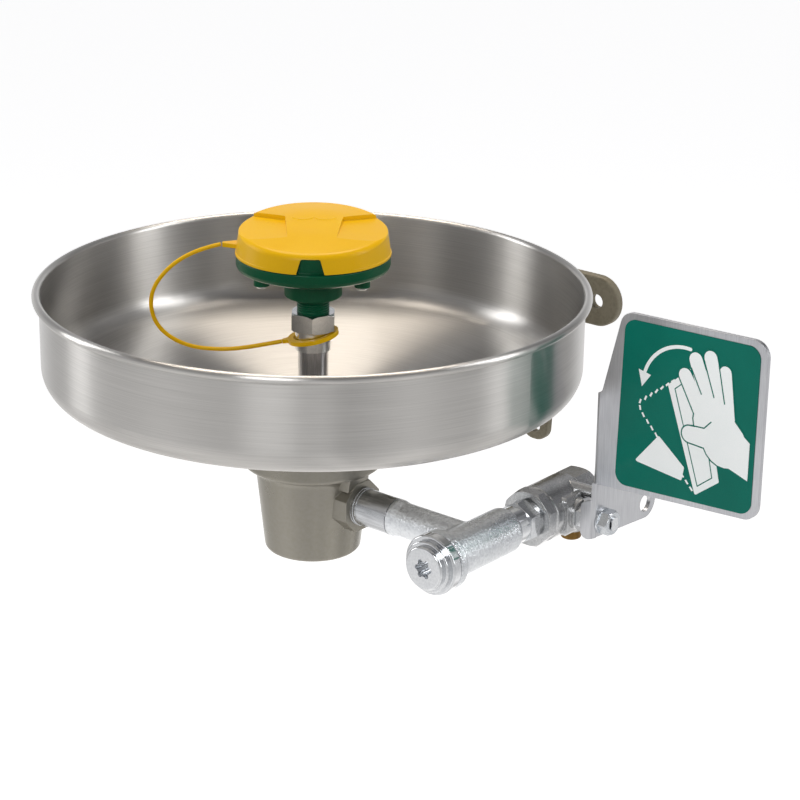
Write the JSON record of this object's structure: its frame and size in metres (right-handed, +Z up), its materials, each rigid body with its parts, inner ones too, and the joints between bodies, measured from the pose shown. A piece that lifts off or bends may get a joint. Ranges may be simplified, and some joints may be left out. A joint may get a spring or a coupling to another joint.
{
  "type": "wall-mounted eye wash",
  "caption": "Wall-mounted eye and face wash: stainless bowl, capped spray head on a riser, drain casting, strainer and stay-open ball valve with a push flag.",
  "frame": {"origin": "midway between the two upper wall holes, on the wall bracket's back face", "axes": "+X to the right as seen by the user who faces the wall, +Y into the wall, +Z up"},
  "size_m": [0.409, 0.373, 0.1936],
  "materials": {
    "stainless_sheet": "brushed stainless sheet",
    "black_rubber": "smooth",
    "plated_steel": "zinc plated",
    "painted_casting": "grey-beige paint on a casting",
    "painted_bracket": "olive grey paint on a casting",
    "bright_pipe": "plated pipe",
    "rough_chrome": "plated rough casting",
    "chrome": "polished plating",
    "fibre": "pressed fibre",
    "brass": "machined",
    "white_plastic": "smooth",
    "green_label": null,
    "green_plastic": "moulded",
    "yellow_plastic": "moulded"
  },
  "bodies": {
    "frame": {"bowl": "stainless_sheet", "drain_grate": "stainless_sheet", "drain_gasket": "black_rubber", "grate_screws": "plated_steel", "drain_casting": "painted_casting", "wall_plate": "painted_bracket", "bracket_arm": "painted_bracket", "bracket_screws": "plated_steel", "supply_nipple": "bright_pipe", "strainer_body": "rough_chrome", "strainer_plug": "chrome", "plug_gasket": "fibre", "strainer_screen": "stainless_sheet", "valve_nipple": "chrome", "valve_body": "chrome", "valve_end_cap": "chrome", "bleed_plug": "brass", "ball_seats": "white_plastic", "stem_packing": "white_plastic", "gland_nut": "chrome", "riser_pipe": "chrome", "head_body": "green_plastic", "spray_plate": "green_plastic", "head_gasket": "black_rubber", "flow_control": "white_plastic", "head_screws": "plated_steel", "riser_coupling": "chrome", "tether_ring": "yellow_plastic", "tether_strap": "yellow_plastic"},
    "handle": {"valve_ball": "chrome", "valve_stem": "chrome", "handle_lever": "stainless_sheet", "handle_washer": "plated_steel", "handle_nut": "plated_steel", "flag_label": "green_label"},
    "cover": {"dust_cover": "yellow_plastic"}
  },
  "joints": [
    {"name": "handle_turn", "type": "hinge", "parent": "frame", "child": "handle", "pos_m": [0.14975, -0.145, -0.0718], "axis": [-1, 0, 0], "range_deg": [0, 90]},
    {"name": "cover_lift", "type": "slide", "parent": "frame", "child": "cover", "axis": [0, 0, 1], "range_m": [0, 0.06]}
  ]
}
